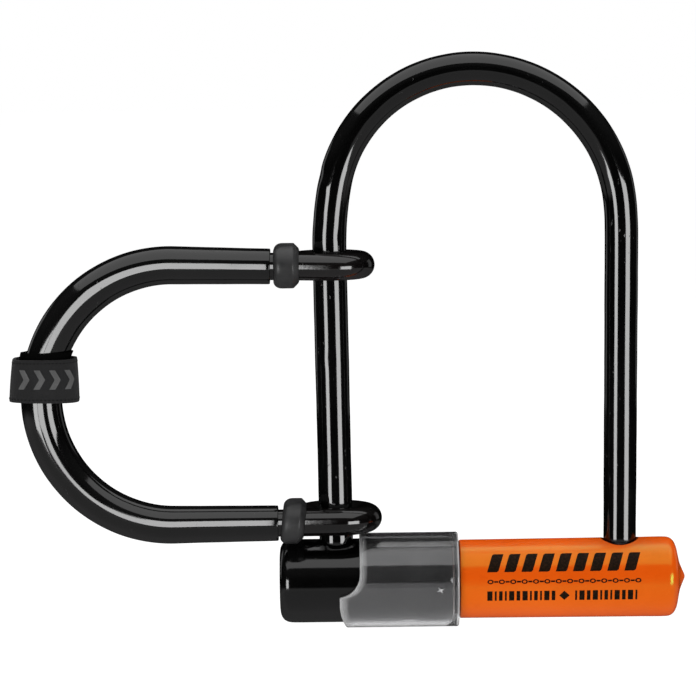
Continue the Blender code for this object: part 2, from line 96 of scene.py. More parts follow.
JACKET_LEFT, JACKET_RIGHT = span("end_jacket")[0].x, span("end_jacket")[1].x
ORANGE_LEFT, ORANGE_RIGHT = span("crossbar_sleeve")[0].x, span("crossbar_sleeve")[1].x
SKIN_BORE, JACKET_R, ORANGE_R = 13.3, 15.45, 14.5
COVER_LEFT, COVER_RIGHT = span("dust_cover")[0].x, span("dust_cover")[1].x
COVER_BORE, COVER_R, COVER_LIP = 16.1, 17.5, 13.7
STRAP_LOW, STRAP_HIGH = span("strap_band")
STRAP_X = (STRAP_LOW.x + STRAP_HIGH.x) / 2
STRAP_HALF_X = (STRAP_HIGH.x - STRAP_LOW.x) / 2
STRAP_HALF_Y = (STRAP_HIGH.y - STRAP_LOW.y) / 2
KEY_X = (span("cylinder_core")[0].x + span("cylinder_core")[1].x) / 2
LEG_HOLE_R, KEY_HOLE_R = 7.0, 8.0
# the cover's window looks to the back and down, until the cover turns it to the keyway
WINDOW_TILT = math.radians(-30)

# ------------------------------------------------------------------ materials


class Finish:
    """A Principled material whose pattern is worked out from the object's own coordinates."""

    def __init__(self, name, colour, rough, **sockets):
        self.material = bpy.data.materials.new(name)
        self.material.use_nodes = True
        self.tree = self.material.node_tree
        self.shader = self.tree.nodes["Principled BSDF"]
        self.set("Base Color", (*colour, 1.0))
        self.set("Roughness", rough)
        for socket, value in sockets.items():
            self.set(socket.replace("_", " "), value)
        self.bump_height = None

    def set(self, socket, value):
        self.shader.inputs[socket].default_value = value

    def node(self, kind, inputs=None, **settings):
        made = self.tree.nodes.new(kind)
        for key, value in settings.items():
            setattr(made, key, value)
        for key, value in (inputs or {}).items():
            if isinstance(value, bpy.types.NodeSocket):
                self.tree.links.new(value, made.inputs[key])
            else:
                made.inputs[key].default_value = value
        return made

    def place(self, scale=(1, 1, 1)):
        """Coordinates of the surface, stretched by scale."""
        at = self.node("ShaderNodeTexCoord").outputs["Object"]
        return self.node("ShaderNodeMapping", {"Vector": at, "Scale": scale}).outputs[0]

    def uv(self):
        """Millimetres along and up the tape."""
        return self.node("ShaderNodeUVMap", uv_map="flat").outputs[0]

    def noise(self, scale, detail=3.0, rough=0.5, at=None):
        at = at or self.place()
        inputs = {"Vector": at, "Scale": scale, "Detail": detail, "Roughness": rough}
        return self.node("ShaderNodeTexNoise", inputs).outputs["Fac"]

    def math(self, operation, a, b=0.0):
        return self.node("ShaderNodeMath", {0: a, 1: b}, operation=operation).outputs[0]

    def span(self, value, low, high, out_low, out_high):
        """value moved from the range low to high to the range out_low to out_high."""
        inputs = {"Value": value, "From Min": low, "From Max": high}
        inputs.update({"To Min": out_low, "To Max": out_high})
        return self.node("ShaderNodeMapRange", inputs).outputs[0]

    def blend(self, value, low, high):
        """A colour between low and high."""
        made = self.node("ShaderNodeMix", data_type="RGBA")
        self.tree.links.new(value, made.inputs["Factor"])
        for socket, colour in (("A", low), ("B", high)):
            target = next(s for s in made.inputs if s.name == socket and s.type == "RGBA")
            if isinstance(colour, bpy.types.NodeSocket):
                self.tree.links.new(colour, target)
            else:
                target.default_value = (*colour, 1.0)
        return next(s for s in made.outputs if s.type == "RGBA")

    def tone(self, pattern, low, high, dark, light):
        """dark where the pattern is below low, light where it is above high."""
        return self.blend(self.span(pattern, low, high, 0, 1), dark, light)

    def paint(self, colour):
        self.tree.links.new(colour, self.shader.inputs["Base Color"])

    def roughen(self, value):
        self.tree.links.new(value, self.shader.inputs["Roughness"])

    def bump(self, height, depth):
        """Adds relief, depth metres deep, on top of what is there already."""
        inputs = {"Height": height, "Distance": depth, "Strength": 1.0}
        if self.bump_height is not None:
            inputs["Normal"] = self.bump_height
        self.bump_height = self.node("ShaderNodeBump", inputs).outputs[0]
        self.tree.links.new(self.bump_height, self.shader.inputs["Normal"])


def scratches(finish, scale, stretch, share):
    """1 on sparse fine marks that run along one direction, else 0."""
    fine = finish.noise(scale, 2.0, 0.6, finish.place(stretch))
    patch = finish.noise(60.0, 2.0)
    return finish.math(
        "MULTIPLY", finish.span(fine, share, share + 0.03, 0, 1), finish.span(patch, 0.5, 0.6, 0, 1)
    )


def gloss_vinyl(name, colour, worn, rough, wave):
    """Dipped or extruded vinyl: a slow wave in the surface, fine orange peel and a few nicks."""
    made = Finish(name, colour, rough)
    drift = made.noise(38.0, 3.0)
    nicks = scratches(made, 900.0, (1, 1, 0.35), 0.70)
    tone = made.tone(drift, 0.35, 0.65, colour, worn)
    made.paint(made.blend(nicks, tone, tuple(3 * c + 0.01 for c in worn)))
    sheen = made.span(drift, 0.3, 0.7, rough, rough + 0.05)
    made.roughen(made.math("ADD", sheen, made.math("MULTIPLY", nicks, 0.25)))
    made.bump(made.noise(30.0, 1.0), wave)
    made.bump(made.noise(900.0, 2.0), 0.000004)
    made.bump(nicks, 0.00003)
    return made


JET, JET_WORN = (0.0006, 0.0006, 0.0006), (0.0013, 0.0013, 0.0013)


def black_vinyl():
    made = gloss_vinyl("black_vinyl", JET, JET_WORN, 0.06, 0.0003)
    made.set("IOR", 1.6)
    return made


def black_paint():
    """Paint baked on the bent rod, thin enough to show a little of the metal's grain."""
    warm, worn = (0.0009, 0.0007, 0.0007), (0.002, 0.0015, 0.0015)
    made = gloss_vinyl("black_rod_paint", warm, worn, 0.07, 0.00022)
    made.set("IOR", 1.6)
    made.bump(made.noise(2600.0, 2.0), 0.0000025)
    return made


def black_jacket():
    made = gloss_vinyl("black_jacket", JET, JET_WORN, 0.08, 0.00012)
    made.set("IOR", 1.58)
    return made


def orange_vinyl():
    made = Finish("orange_vinyl", (0.585, 0.07, 0.0027), 0.2, Specular_IOR_Level=1.0)
    drift = made.noise(45.0, 3.0)
    cloud = made.noise(260.0, 3.0)
    deep, bright = (0.565, 0.0675, 0.0025), (0.61, 0.074, 0.0030)
    tone = made.tone(drift, 0.35, 0.65, deep, bright)
    speck = made.span(cloud, 0.60, 0.72, 0, 0.35)
    made.paint(made.blend(speck, tone, (0.53, 0.060, 0.0021)))
    made.roughen(made.span(drift, 0.3, 0.7, 0.17, 0.23))
    made.set("Specular Tint", (0.15, 0.95, 0.13, 1.0))
    made.bump(made.noise(36.0, 1.0), 0.00012)
    made.bump(made.noise(1100.0, 2.0), 0.000006)
    made.set("IOR", 1.5)
    return made


def print_ink():
    made = Finish("print_ink", (0.009, 0.004, 0.0015), 0.42, Specular_IOR_Level=0.06)
    grain = made.noise(1500.0, 3.0)
    dark, rubbed = (0.006, 0.003, 0.001), (0.020, 0.008, 0.003)
    made.paint(made.tone(grain, 0.45, 0.75, dark, rubbed))
    made.roughen(made.span(grain, 0.3, 0.7, 0.36, 0.52))
    made.bump(grain, 0.00001)
    return made


def smoked_cover():
    made = Finish("smoked_cover", (0.75, 0.75, 0.76), 0.05, IOR=1.6, Transmission_Weight=0.98)
    drift = made.noise(70.0, 3.0)
    marks = scratches(made, 700.0, (0.2, 1, 1), 0.72)
    tone = made.tone(drift, 0.3, 0.7, (0.62, 0.62, 0.63), (0.72, 0.72, 0.73))
    gloss = made.span(drift, 0.3, 0.7, 0.04, 0.08)
    made.roughen(made.math("ADD", gloss, made.math("MULTIPLY", marks, 0.12)))
    made.bump(made.noise(55.0, 2.0), 0.00005)
    made.bump(marks, 0.000008)
    tone = made.blend(marks, tone, (0.9, 0.9, 0.9))
    # painted highlight: where the edge attribute is set, the wall is paler and less clear
    edge = made.node("ShaderNodeAttribute", attribute_name="edge").outputs["Fac"]
    made.paint(made.blend(edge, tone, (0.55, 0.55, 0.55)))
    clear = made.span(edge, 0, 1, 0.98, 0.45)
    made.tree.links.new(clear, made.shader.inputs["Transmission Weight"])
    return made


def gate_stub():
    made = Finish("cover_gate_stub", (0.5, 0.5, 0.5), 0.2, Transmission_Weight=0.3)
    drift = made.noise(900.0, 3.0)
    made.paint(made.tone(drift, 0.3, 0.7, (0.35, 0.35, 0.36), (0.7, 0.7, 0.7)))
    made.roughen(made.span(drift, 0.3, 0.7, 0.12, 0.3))
    made.bump(made.noise(700.0, 2.0), 0.00008)
    return made


def rubber():
    made = Finish("collar_rubber", (0.040, 0.040, 0.041), 0.48)
    drift = made.noise(140.0, 3.0)
    dark, chalky = (0.011, 0.011, 0.0113), (0.019, 0.019, 0.0194)
    made.paint(made.tone(drift, 0.3, 0.7, dark, chalky))
    made.roughen(made.span(drift, 0.3, 0.7, 0.36, 0.5))
    made.bump(made.noise(2200.0, 3.0), 0.00003)
    made.bump(made.noise(260.0, 2.0), 0.00006)
    return made


def webbing(name, dark, light):
    """Plain woven tape: warp cords up the band, and weft across."""
    made = Finish(name, dark, 0.85, Sheen_Weight=0.04, Sheen_Roughness=0.5, Specular_IOR_Level=0.2)
    across = made.node("ShaderNodeSeparateXYZ", {0: made.uv()})
    warp = made.math("SINE", made.math("MULTIPLY", across.outputs[0], 2 * math.pi / 0.9))
    row = made.math("MULTIPLY", across.outputs[1], 2 * math.pi / 0.62)
    shift = made.math("MULTIPLY", made.math("SIGN", warp), math.pi / 2)
    weft = made.math("SINE", made.math("ADD", row, shift))
    cord = made.math("MULTIPLY", made.math("ABSOLUTE", warp), made.span(weft, -1, 1, 0.35, 1))
    fuzz = made.noise(2400.0, 3.0, 0.7)
    body = made.math("ADD", cord, made.math("MULTIPLY", fuzz, 0.35))
    patch = made.noise(180.0, 2.0)
    worn = made.math("ADD", made.math("MULTIPLY", body, 0.7), made.math("MULTIPLY", patch, 0.45))
    made.paint(made.tone(worn, 0.25, 1.1, dark, light))
    made.roughen(made.span(fuzz, 0.3, 0.7, 0.75, 0.95))
    made.bump(body, 0.00016)
    return made


def metal(name, colour, rough, grain, stretch, stain=(0.5, 0.5, 0.5), amount=0.25):
    """Turned, ground or hardened metal: fine lines along the cut and a little tarnish."""
    made = Finish(name, colour, rough, Metallic=1.0)
    lines = made.noise(grain, 4.0, 0.65, made.place(stretch))
    cloud = made.noise(110.0, 3.0)
    dull = tuple(c * s for c, s in zip(colour, stain))
    shade = made.math("MULTIPLY", made.span(cloud, 0.4, 0.75, 0, 1), amount)
    bright = made.tone(lines, 0.3, 0.7, tuple(0.86 * c for c in colour), colour)
    made.paint(made.blend(shade, bright, dull))
    made.roughen(made.span(lines, 0.3, 0.7, rough - 0.07, rough + 0.1))
    made.bump(lines, 0.00001)
    return made


def acetal():
    made = Finish("acetal", (0.70, 0.69, 0.64), 0.42, Subsurface_Weight=0.1, Subsurface_Scale=0.002)
    drift = made.noise(160.0, 3.0)
    made.paint(made.tone(drift, 0.3, 0.7, (0.66, 0.65, 0.60), (0.74, 0.73, 0.68)))
    made.roughen(made.span(drift, 0.3, 0.7, 0.36, 0.5))
    made.bump(made.noise(1400.0, 2.0, 0.5, made.place((1, 3, 3))), 0.00001)
    return made


BLACK_VINYL, BLACK_PAINT, BLACK_JACKET = black_vinyl(), black_paint(), black_jacket()
ORANGE, INK, SMOKE, RUBBER = orange_vinyl(), print_ink(), smoked_cover(), rubber()
STUB = gate_stub()
WEB = webbing("strap_webbing", (0.0065, 0.0065, 0.0068), (0.0175, 0.0175, 0.018))
WEB_DARK = webbing("strap_inner_webbing", (0.0002, 0.0002, 0.0002), (0.0012, 0.0012, 0.0012))
WEB_DARK.set("Specular IOR Level", 0.05)
WEB_DARK.set("Sheen Weight", 0.0)
THREAD = webbing("motif_thread", (0.045, 0.045, 0.045), (0.12, 0.12, 0.12))
GROUND = metal("ground_steel", (0.56, 0.57, 0.58), 0.30, 1500.0, (1, 1, 0.06))
TURNED = metal("turned_steel", (0.60, 0.61, 0.62), 0.26, 1800.0, (0.05, 1, 1))
BLUED = metal("blued_steel", (0.045, 0.046, 0.05), 0.42, 1500.0, (0.06, 1, 1))
DRILL = metal("drill_plate_steel", (0.20, 0.20, 0.21), 0.36, 1600.0, (1, 1, 0.2))
BRASS = metal(
    "machined_brass", (0.78, 0.59, 0.27), 0.28, 1700.0, (1, 1, 0.05), (0.6, 0.45, 0.3), 0.4
)
ACETAL = acetal()

# ------------------------------------------------------------------ mesh building


def make(name, points, faces, finish, body, node=(), slot=None, sharp=35, flat=None):
    """A smooth mesh from points in millimetres, riding on its body."""
    mesh = bpy.data.meshes.new(name)
    mesh.from_pydata([spot(p) for p in points], [], faces)
    if flat is not None:
        layer = mesh.uv_layers.new(name="flat")
        for loop in mesh.loops:
            layer.data[loop.index].uv = flat[loop.vertex_index]
    work = bmesh.new()
    work.from_mesh(mesh)
    bmesh.ops.recalc_face_normals(work, faces=work.faces)
    work.to_mesh(mesh)
    work.free()
    obj = bpy.data.objects.new(name, mesh)
    bpy.context.scene.collection.objects.link(obj)
    mesh.materials.append(finish.material)
    smooth(obj, sharp)
    if body:
        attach(obj, body)
    if node:
        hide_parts(*node)
    return obj


def smooth(obj, sharp):
    obj.data.polygons.foreach_set("use_smooth", [True] * len(obj.data.polygons))
    obj.data.set_sharp_from_angle(angle=math.radians(sharp))


def carve(obj, cutters, sharp=35):
    """Takes the cutters out of obj for good, and removes them."""
    for cutter in cutters:
        step = obj.modifiers.new("cut", "BOOLEAN")
        step.operation, step.solver, step.object = "DIFFERENCE", "EXACT", cutter
        bpy.context.view_layer.update()
        cut = bpy.data.meshes.new_from_object(
            obj.evaluated_get(bpy.context.evaluated_depsgraph_get())
        )
        obj.modifiers.remove(step)
        obj.data = cut
        bpy.data.objects.remove(cutter, do_unlink=True)
    smooth(obj, sharp)


def loft(rings, loop=False):
    """Points and faces through rings of equal length, closed by caps or back onto itself."""
    count = len(rings[0])
    points = [p for ring in rings for p in ring]
    faces = []
    pairs = list(zip(range(len(rings)), range(1, len(rings))))
    if loop:
        pairs.append((len(rings) - 1, 0))
    for low, high in pairs:
        for k in range(count):
            n = (k + 1) % count
            faces.append([low * count + k, low * count + n, high * count + n, high * count + k])
    if not loop:
        faces.append(list(range(count))[::-1])
        faces.append(list(range((len(rings) - 1) * count, len(rings) * count)))
    return points, faces


def arc(centre, radius, start, end, steps, plane):
    u, v = Vector(plane[0]), Vector(plane[1])
    turns = [start + (end - start) * k / steps for k in range(steps + 1)]
    return [Vector(centre) + (u * math.cos(t) + v * math.sin(t)) * radius for t in turns]


def spaced(a, b, step):
    """Points from a to b, without b, about step apart."""
    a, b = Vector(a), Vector(b)
    count = max(1, round((b - a).length / step))
    return [a.lerp(b, k / count) for k in range(count)]


def frames(path):
    """Two directions across the path at each point, turning as little as they can."""
    last = len(path) - 1
    ahead = [path[min(k + 1, last)] - path[max(k - 1, 0)] for k in range(last + 1)]
    tangents = [step.normalized() for step in ahead]
    side = tangents[0].orthogonal().normalized()
    made = []
    for tangent in tangents:
        side = (side - tangent * side.dot(tangent)).normalized()
        made.append((side.copy(), tangent.cross(side), tangent))
    return made


def ring_at(centre, across, radius, sides):
    a, b, _ = across
    turns = [2 * math.pi * k / sides for k in range(sides)]
    return [centre + (a * math.cos(t) + b * math.sin(t)) * radius for t in turns]


def rounded(edge, steps=5):
    """(back from the end, in from the surface) round a quarter circle, from the surface."""
    turns = [math.pi / 2 * k / steps for k in range(steps + 1)]
    return [(edge * (1 - math.sin(t)), edge * (1 - math.cos(t))) for t in turns]


def tipped(path, across, radii, sides, edge):
    """Rings along the path, with a rounded edge at both ends."""
    rings = [ring_at(p, f, r, sides) for p, f, r in zip(path, across, radii)]
    for end, sign in ((0, 1), (-1, -1)):
        inward = across[end][2] * sign
        tip = [
            ring_at(path[end] + inward * back, across[end], radii[end] - inset, sides)
            for back, inset in rounded(edge)
        ]
        if end == 0:
            rings[0:1] = tip[::-1]
        else:
            rings[-1:] = tip
    return rings


def bar(path, radius, sides, edge):
    """A round bar with rounded ends."""
    return loft(tipped(path, frames(path), [radius] * len(path), sides, edge))


def hose(path, radii, bore, sides, edge):
    """A hose with rounded mouths. radii is one outer radius for each point."""
    across = frames(path)
    inside = [ring_at(p, f, bore, sides) for p, f in zip(path, across)]
    return loft(tipped(path, across, radii, sides, edge) + inside[::-1], loop=True)


def turned(profile, sides, loop=False):
    """(x, radius) pairs turned about the crossbar's axis. A radius of TIP closes an end."""
    turns = [2 * math.pi * k / sides for k in range(sides)]
    rings = [[Vector((x, r * math.cos(t), r * math.sin(t))) for t in turns] for x, r in profile]
    return loft(rings, loop=loop)


def curve_through(knots, steps):
    """A smooth line through the knots (Catmull-Rom)."""
    knots = [Vector(k) for k in knots]
    ends = [2 * knots[0] - knots[1], *knots, 2 * knots[-1] - knots[-2]]
    line = []
    for a, b, c, d in zip(ends, ends[1:], ends[2:], ends[3:]):
        for k in range(steps):
            t = k / steps
            line.append(
                0.5 * (2 * b + (c - a) * t + (2 * a - 5 * b + 4 * c - d) * t * t
                       + (3 * b - a - 3 * c + d) * t ** 3)
            )
    return [*line, knots[-1]]


def upright(x, radius, low, high, sides=96, lean=math.pi / 2):
    """A plain round cutter from low to high, upright, or at the angle lean from the back."""
    c, s = math.cos(lean), math.sin(lean)
    rings = []
    for at in (low, high):
        turns = [2 * math.pi * k / sides for k in range(sides)]
        rings.append([
            Vector((x + radius * math.cos(t), at * c - radius * math.sin(t) * s,
                    at * s + radius * math.sin(t) * c)) for t in turns
        ])
    cutter = make("cutter", *loft(rings), ORANGE, None)
    cutter.hide_render = True
    return cutter


# ------------------------------------------------------------------ shackle


def leg_x(side, z):
    return side * (LEG_X + z * math.tan(SPLAY))


def wave(along, *parts):
    """A small uneven wave, from (length, size, shift) parts."""
    return sum(
        size * math.sin(2 * math.pi * along / length + shift) for length, size, shift in parts
    )


def leg_to_arch(side, radius, steps):
    """A leg's straight top eased into the bend, as points from the leg up to the bend's arc
    (a cubic Hermite curve)."""
    start = Vector((leg_x(side, LEG_TOP), 0, LEG_TOP))
    centre = Vector((ARCH_X, 0, ARCH_TOP - radius))
    end = centre + Vector((side * math.cos(ARCH_START), 0, math.sin(ARCH_START))) * radius
    reach = (end - start).length
    leave = Vector((side * math.sin(SPLAY), 0, math.cos(SPLAY))) * reach
    arrive = Vector((-side * math.sin(ARCH_START), 0, math.cos(ARCH_START))) * reach
    points = []
    for k in range(steps):
        t = k / steps
        points.append(
            start * (2 * t**3 - 3 * t**2 + 1) + leave * (t**3 - 2 * t**2 + t)
            + end * (3 * t**2 - 2 * t**3) + arrive * (t**3 - t**2)
        )
    return points


def shackle_path(foot_z, step):
    """The bend is a little tighter on the left, and its two arcs meet at the top."""
    xz = ((1, 0, 0), (0, 0, 1))
    arcs = []
    for radius, start, end in (
        (ARCH_LEFT_R, math.pi - ARCH_START, math.pi / 2), (ARCH_RIGHT_R, math.pi / 2, ARCH_START)
    ):
        arcs.append(arc((ARCH_X, 0, ARCH_TOP - radius), radius, start, end, 70, xz))
    left, right = leg_to_arch(-1, ARCH_LEFT_R, 16), leg_to_arch(1, ARCH_RIGHT_R, 16)
    feet = [Vector((leg_x(side, foot_z), 0, foot_z)) for side in (-1, 1)]
    return [
        *spaced(feet[0], left[0], step), *left, *arcs[0], *arcs[1][1:], *right[::-1],
        *spaced(feet[1], right[0], step)[::-1],
    ]


def shackle():
    path = shackle_path(LEG_SLEEVE_FOOT, 2.0)
    radii, along = [], 0.0
    for k, point in enumerate(path):
        along += (point - path[k - 1]).length if k else 0.0
        share = min(1.0, point.z / LEG_TOP)
        full = 0.0
        if point.x < -40:
            full = 0.02 + 0.12 * share
        elif point.x > 48:
            full = 0.14 * share - 0.14
        fade = 1.0 if point.z < LEG_TOP else max(0.0, 1 - (point.z - LEG_TOP) / 30)
        ripple = wave(along, (61.0, 0.025, 0.4), (23.0, 0.018, 2.0), (9.5, 0.008, 1.0))
        radii.append(LEG_R + full * fade + ripple)
    points, faces = hose(path, radii, LEG_BORE, 96, 0.35)
    # the sleeve is gathered a little where the left bend starts, and rubbed below it
    dents = [
        (Vector((-57.0, -2.2, 150.5)), 3.2, 0.42), (Vector((-55.2, -3.8, 146.6)), 2.2, -0.22),
        (Vector((-58.3, -1.0, 154.5)), 2.4, -0.20), (Vector((-58.6, -3.4, 133.5)), 2.6, 0.20),
        (Vector((-49.5, -5.0, 128.0)), 2.0, 0.14), (Vector((-54.0, -5.8, 83.0)), 1.4, 0.16),
    ]
    for centre, reach, depth in dents:
        near = [p for p in path if (p - centre).length < 30]
        for k, point in enumerate(points):
            gap = (point - centre).length
            if gap < 2.5 * reach:
                middle = min(near, key=lambda p: (p - point).length)
                push = point - middle
                if push.length > (LEG_R + LEG_BORE) / 2:
                    points[k] = point - push.normalized() * depth * math.exp(-((gap / reach) ** 2))
    make(
        "shackle_sleeve_vinyl", points, faces, BLACK_VINYL, "shackle", ("shackle_sleeve",),
        "vinyl_black",
    )


# ------------------------------------------------------------------ extender loop


def eye_path(eye_x, z, tail_end_x):
    """From the tail's end, out and round the back and right of the leg, to the front."""
    tail_x = eye_x - (EYE_R + TAIL_BEND) * math.sin(TAIL_TURN)
    xy = ((1, 0, 0), (0, 1, 0))
    bend = arc(
        (tail_x, TAIL_Y + TAIL_BEND, z), TAIL_BEND, -math.pi / 2, TAIL_TURN - math.pi / 2, 24, xy
    )
    ring = arc((eye_x, 0, z), EYE_R, math.pi / 2 + TAIL_TURN, -math.pi / 2, 90, xy)
    return [*spaced((tail_end_x, TAIL_Y, z), bend[0], 1.0), *bend, *ring[1:]]


def far_bend():
    xz = ((1, 0, 0), (0, 0, 1))
    middle = (D_CENTRE_X, -EYE_R, D_MID_Z)
    return arc(middle, D_R, -math.pi / 2, -3 * math.pi / 2, 130, xz)


def arm_point(x, upper):
    eye_x, eye_z = HIGH_EYE if upper else LOW_EYE
    bend_z = D_MID_Z + (D_R if upper else -D_R)
    share = (x - D_CENTRE_X) / (eye_x - D_CENTRE_X)
    return Vector((x, -EYE_R, bend_z + (eye_z - bend_z) * share))


def extender():
    low, high = eye_path(*LOW_EYE, -71.0), eye_path(*HIGH_EYE, -72.5)
    bend = far_bend()
    path = [
        *low[:-1], *spaced(low[-1], bend[0], 2.5), *bend[:-1],
        *spaced(bend[-1], high[-1], 2.5), *high[::-1],
    ]
    points, faces = bar(path, ROD_R, 80, 0.8)
    make("extender_rod", points, faces, BLACK_PAINT, "extender", ("extender_bar",), "rod_black")

    run = [
        *spaced(arm_point(D_LOW_X, False), bend[0], 1.5), *bend[:-1],
        *spaced(bend[-1], arm_point(D_HIGH_X, True), 1.5), arm_point(D_HIGH_X, True),
    ]
    radii, along = [], 0.0
    for k, point in enumerate(run):
        along += (point - run[k - 1]).length if k else 0.0
        share = min(1.0, max(0.0, (D_LOW_X - point.x) / (D_LOW_X - (D_CENTRE_X - D_R))))
        grown = D_THIN + (D_THICK - D_THIN) * share
        radii.append(grown - 0.02 + wave(along, (47.0, 0.022, 1.1), (17.0, 0.012, 0.2)))
    points, faces = hose(run, radii, D_BORE, 96, 0.4)
    make(
        "extender_sleeve_vinyl", points, faces, BLACK_VINYL, "extender", ("extender_sleeve",),
        "vinyl_black",
    )


def collar(name, node, reach_z, lean, shift):
    """A moulded ring whose section is an oval with round ends, rounder towards the D."""
    low, high = span(node)
    middle_y, z = (low.y + high.y) / 2, (low.z + high.z) / 2
    half = (high.z - low.z) / 2
    flat = (high.y - low.y) / 2 - half
    shoulder = [(2.9 - 2.9 * math.cos(t), 2.9 * (1 - math.sin(t))) for t in
                (math.radians(12 + 78 * k / 10) for k in range(11))]
    outline = [(x, 0.9 * inset) for x, inset in shoulder]
    width = high.x - low.x
    outline += [(width * (0.35 + 0.1 * k), -0.02) for k in range(4)]
    chamfer = [(width - 2.35, 0.0), (width - 2.1, 0.03), (width - 1.9, 0.15), (width - 0.5, 1.55)]
    chamfer += [(width - 0.2, 1.95), (width, 2.5)]
    outline += chamfer
    bore = half - ROD_R - 0.22
    outline += [(width - 0.05, bore - 0.4), (width - 0.3, bore), (width * 0.5, bore), (0.35, bore)]
    outline += [(0.05, bore - 0.35)]
    rings, steps = [], 28
    for along, inset in outline:
        ring = []
        for side, start in ((1, -math.pi / 2), (-1, math.pi / 2)):
            for k in range(steps + 1):
                turn = start + math.pi * k / steps
                r = half - inset
                up = r * math.sin(turn)
                x = low.x + along + shift + lean * up
                ring.append(Vector((x, middle_y + side * flat + r * math.cos(turn), z + up)))
        rings.append(ring)
    # the mould's parting line stands up a hair along the front
    for ring in rings[12:16]:
        for k, point in enumerate(ring):
            if point.y < middle_y and abs(point.z - z) < 0.25:
                ring[k] = point - Vector((0, reach_z, 0))
    points, faces = loft(rings, loop=True)
    make(name, points, faces, RUBBER, "extender", (node,), "collar_rubber", sharp=50)


# ------------------------------------------------------------------ crossbar


def jacket():
    left = [
        (0, TIP), (0, 5.0), (0.02, 9.0), (0.12, 11.1), (0.5, 12.8), (1.4, 14.2), (2.7, 15.02),
        (4.4, 15.36), (7.0, JACKET_R), (12.0, JACKET_R),
    ]
    end = curve_through([(JACKET_LEFT + x, r, 0) for x, r in left], 4)
    profile = [(p.x, p.y) for p in end]
    profile += [(x, JACKET_R) for x in range(-58, -11, 3)]
    profile += [(JACKET_RIGHT - back, JACKET_R - inset) for back, inset in rounded(0.3)]
    profile += [(JACKET_RIGHT, SKIN_BORE), (-TUBE_END, SKIN_BORE), (-TUBE_END, TIP)]
    points, faces = turned(profile, 160)
    made = make(
        "end_jacket_shell", points, faces, BLACK_JACKET, "crossbar", ("end_jacket",), "jacket_black"
    )
    carve(made, [upright(-LEG_X, LEG_HOLE_R, 8, 18), upright(KEY_X, KEY_HOLE_R, -18, -8)])


def orange_radius(x):
    """The orange sleeve widens very slightly to the right."""
    return ORANGE_R + 0.24 * (x + 6) / 66 + 0.02


def orange():
    right = [
        (60.0, ORANGE_R + 0.24), (65.0, ORANGE_R + 0.29), (68.4, ORANGE_R + 0.28),
        (70.4, ORANGE_R + 0.08), (71.7, 13.9), (72.6, 12.75), (73.2, 11.3), (73.65, 9.3),
        (74.1, 7.2), (74.6, 5.2), (75.3, 3.4), (76.0, 1.8), (76.45, 0.75), (ORANGE_RIGHT, TIP),
    ]
    profile = [(ORANGE_LEFT, SKIN_BORE)]
    edge = [(ORANGE_LEFT + back, ORANGE_R + 0.02 - inset) for back, inset in rounded(0.55)]
    profile += edge[::-1]
    profile += [(x, orange_radius(x)) for x in range(-4, 60, 3)]
    profile += [(p.x, p.y) for p in curve_through([(x, r, 0) for x, r in right], 4)]
    profile += [(TUBE_END, TIP), (TUBE_END, SKIN_BORE)]
    points, faces = turned(profile, 160, loop=True)
    made = make(
        "crossbar_sleeve_vinyl", points, faces, ORANGE, "crossbar", ("crossbar_sleeve",),
        "vinyl_orange",
    )
    carve(made, [upright(LEG_X, LEG_HOLE_R, 8, 18)])


def inked(name, marks, lift=0.035):
    """Flat marks laid on the orange sleeve. A mark is an outline of (x, height along the
    surface), cut into narrow strips so that it follows the round."""
    points, faces = [], []
    for outline in marks:
        work = bmesh.new()
        corners = [work.verts.new((x, s, 0)) for x, s in outline]
        work.faces.new(corners)
        low, high = min(s for _, s in outline), max(s for _, s in outline)
        count = max(1, math.ceil((high - low) / 0.5))
        for k in range(1, count):
            at = low + (high - low) * k / count
            bmesh.ops.bisect_plane(
                work, geom=work.verts[:] + work.edges[:] + work.faces[:],
                plane_co=(0, at, 0), plane_no=(0, 1, 0),
            )
        bmesh.ops.solidify(work, geom=work.faces[:], thickness=0.03)
        bmesh.ops.triangulate(work, faces=work.faces[:])
        # put in order, because the cuts leave another order on each run
        order = sorted(work.verts, key=lambda vert: tuple(vert.co))
        number = {vert: len(points) + k for k, vert in enumerate(order)}
        for vert in order:
            x, s, up = vert.co
            radius = orange_radius(x) + lift + up
            turn = s / ORANGE_R
            points.append(Vector((x, -radius * math.cos(turn), radius * math.sin(turn))))
        corners = [[number[vert] for vert in face.verts] for face in work.faces]
        first = [ring.index(min(ring)) for ring in corners]
        faces += sorted(ring[k:] + ring[:k] for k, ring in zip(first, corners))
        work.free()
    make(name, points, faces, INK, "crossbar", (), "vinyl_orange", sharp=60)


def band_of(x, width, low, high, lean=0.0, cut=0.0):
    """A slanted bar with its upper left and lower right corners cut off."""
    shift = lean * (high - low)
    return [
        (x, low), (x + width - cut, low), (x + width + lean * cut, low + cut),
        (x + width + shift, high), (x + shift + cut, high), (x + shift - lean * cut, high - cut),
    ]


def ringlet(x, s, outer, inner, steps=20):
    """A small flat ring, as two halves."""
    halves = []
    for start in (0.0, math.pi):
        turns = [start + math.pi * k / steps for k in range(steps + 1)]
        out = [(x + outer * math.cos(t), s + outer * math.sin(t) * 0.72) for t in turns]
        back = [(x + inner * math.cos(t), s + inner * math.sin(t) * 0.72) for t in reversed(turns)]
        halves.append(out + back)
    return halves


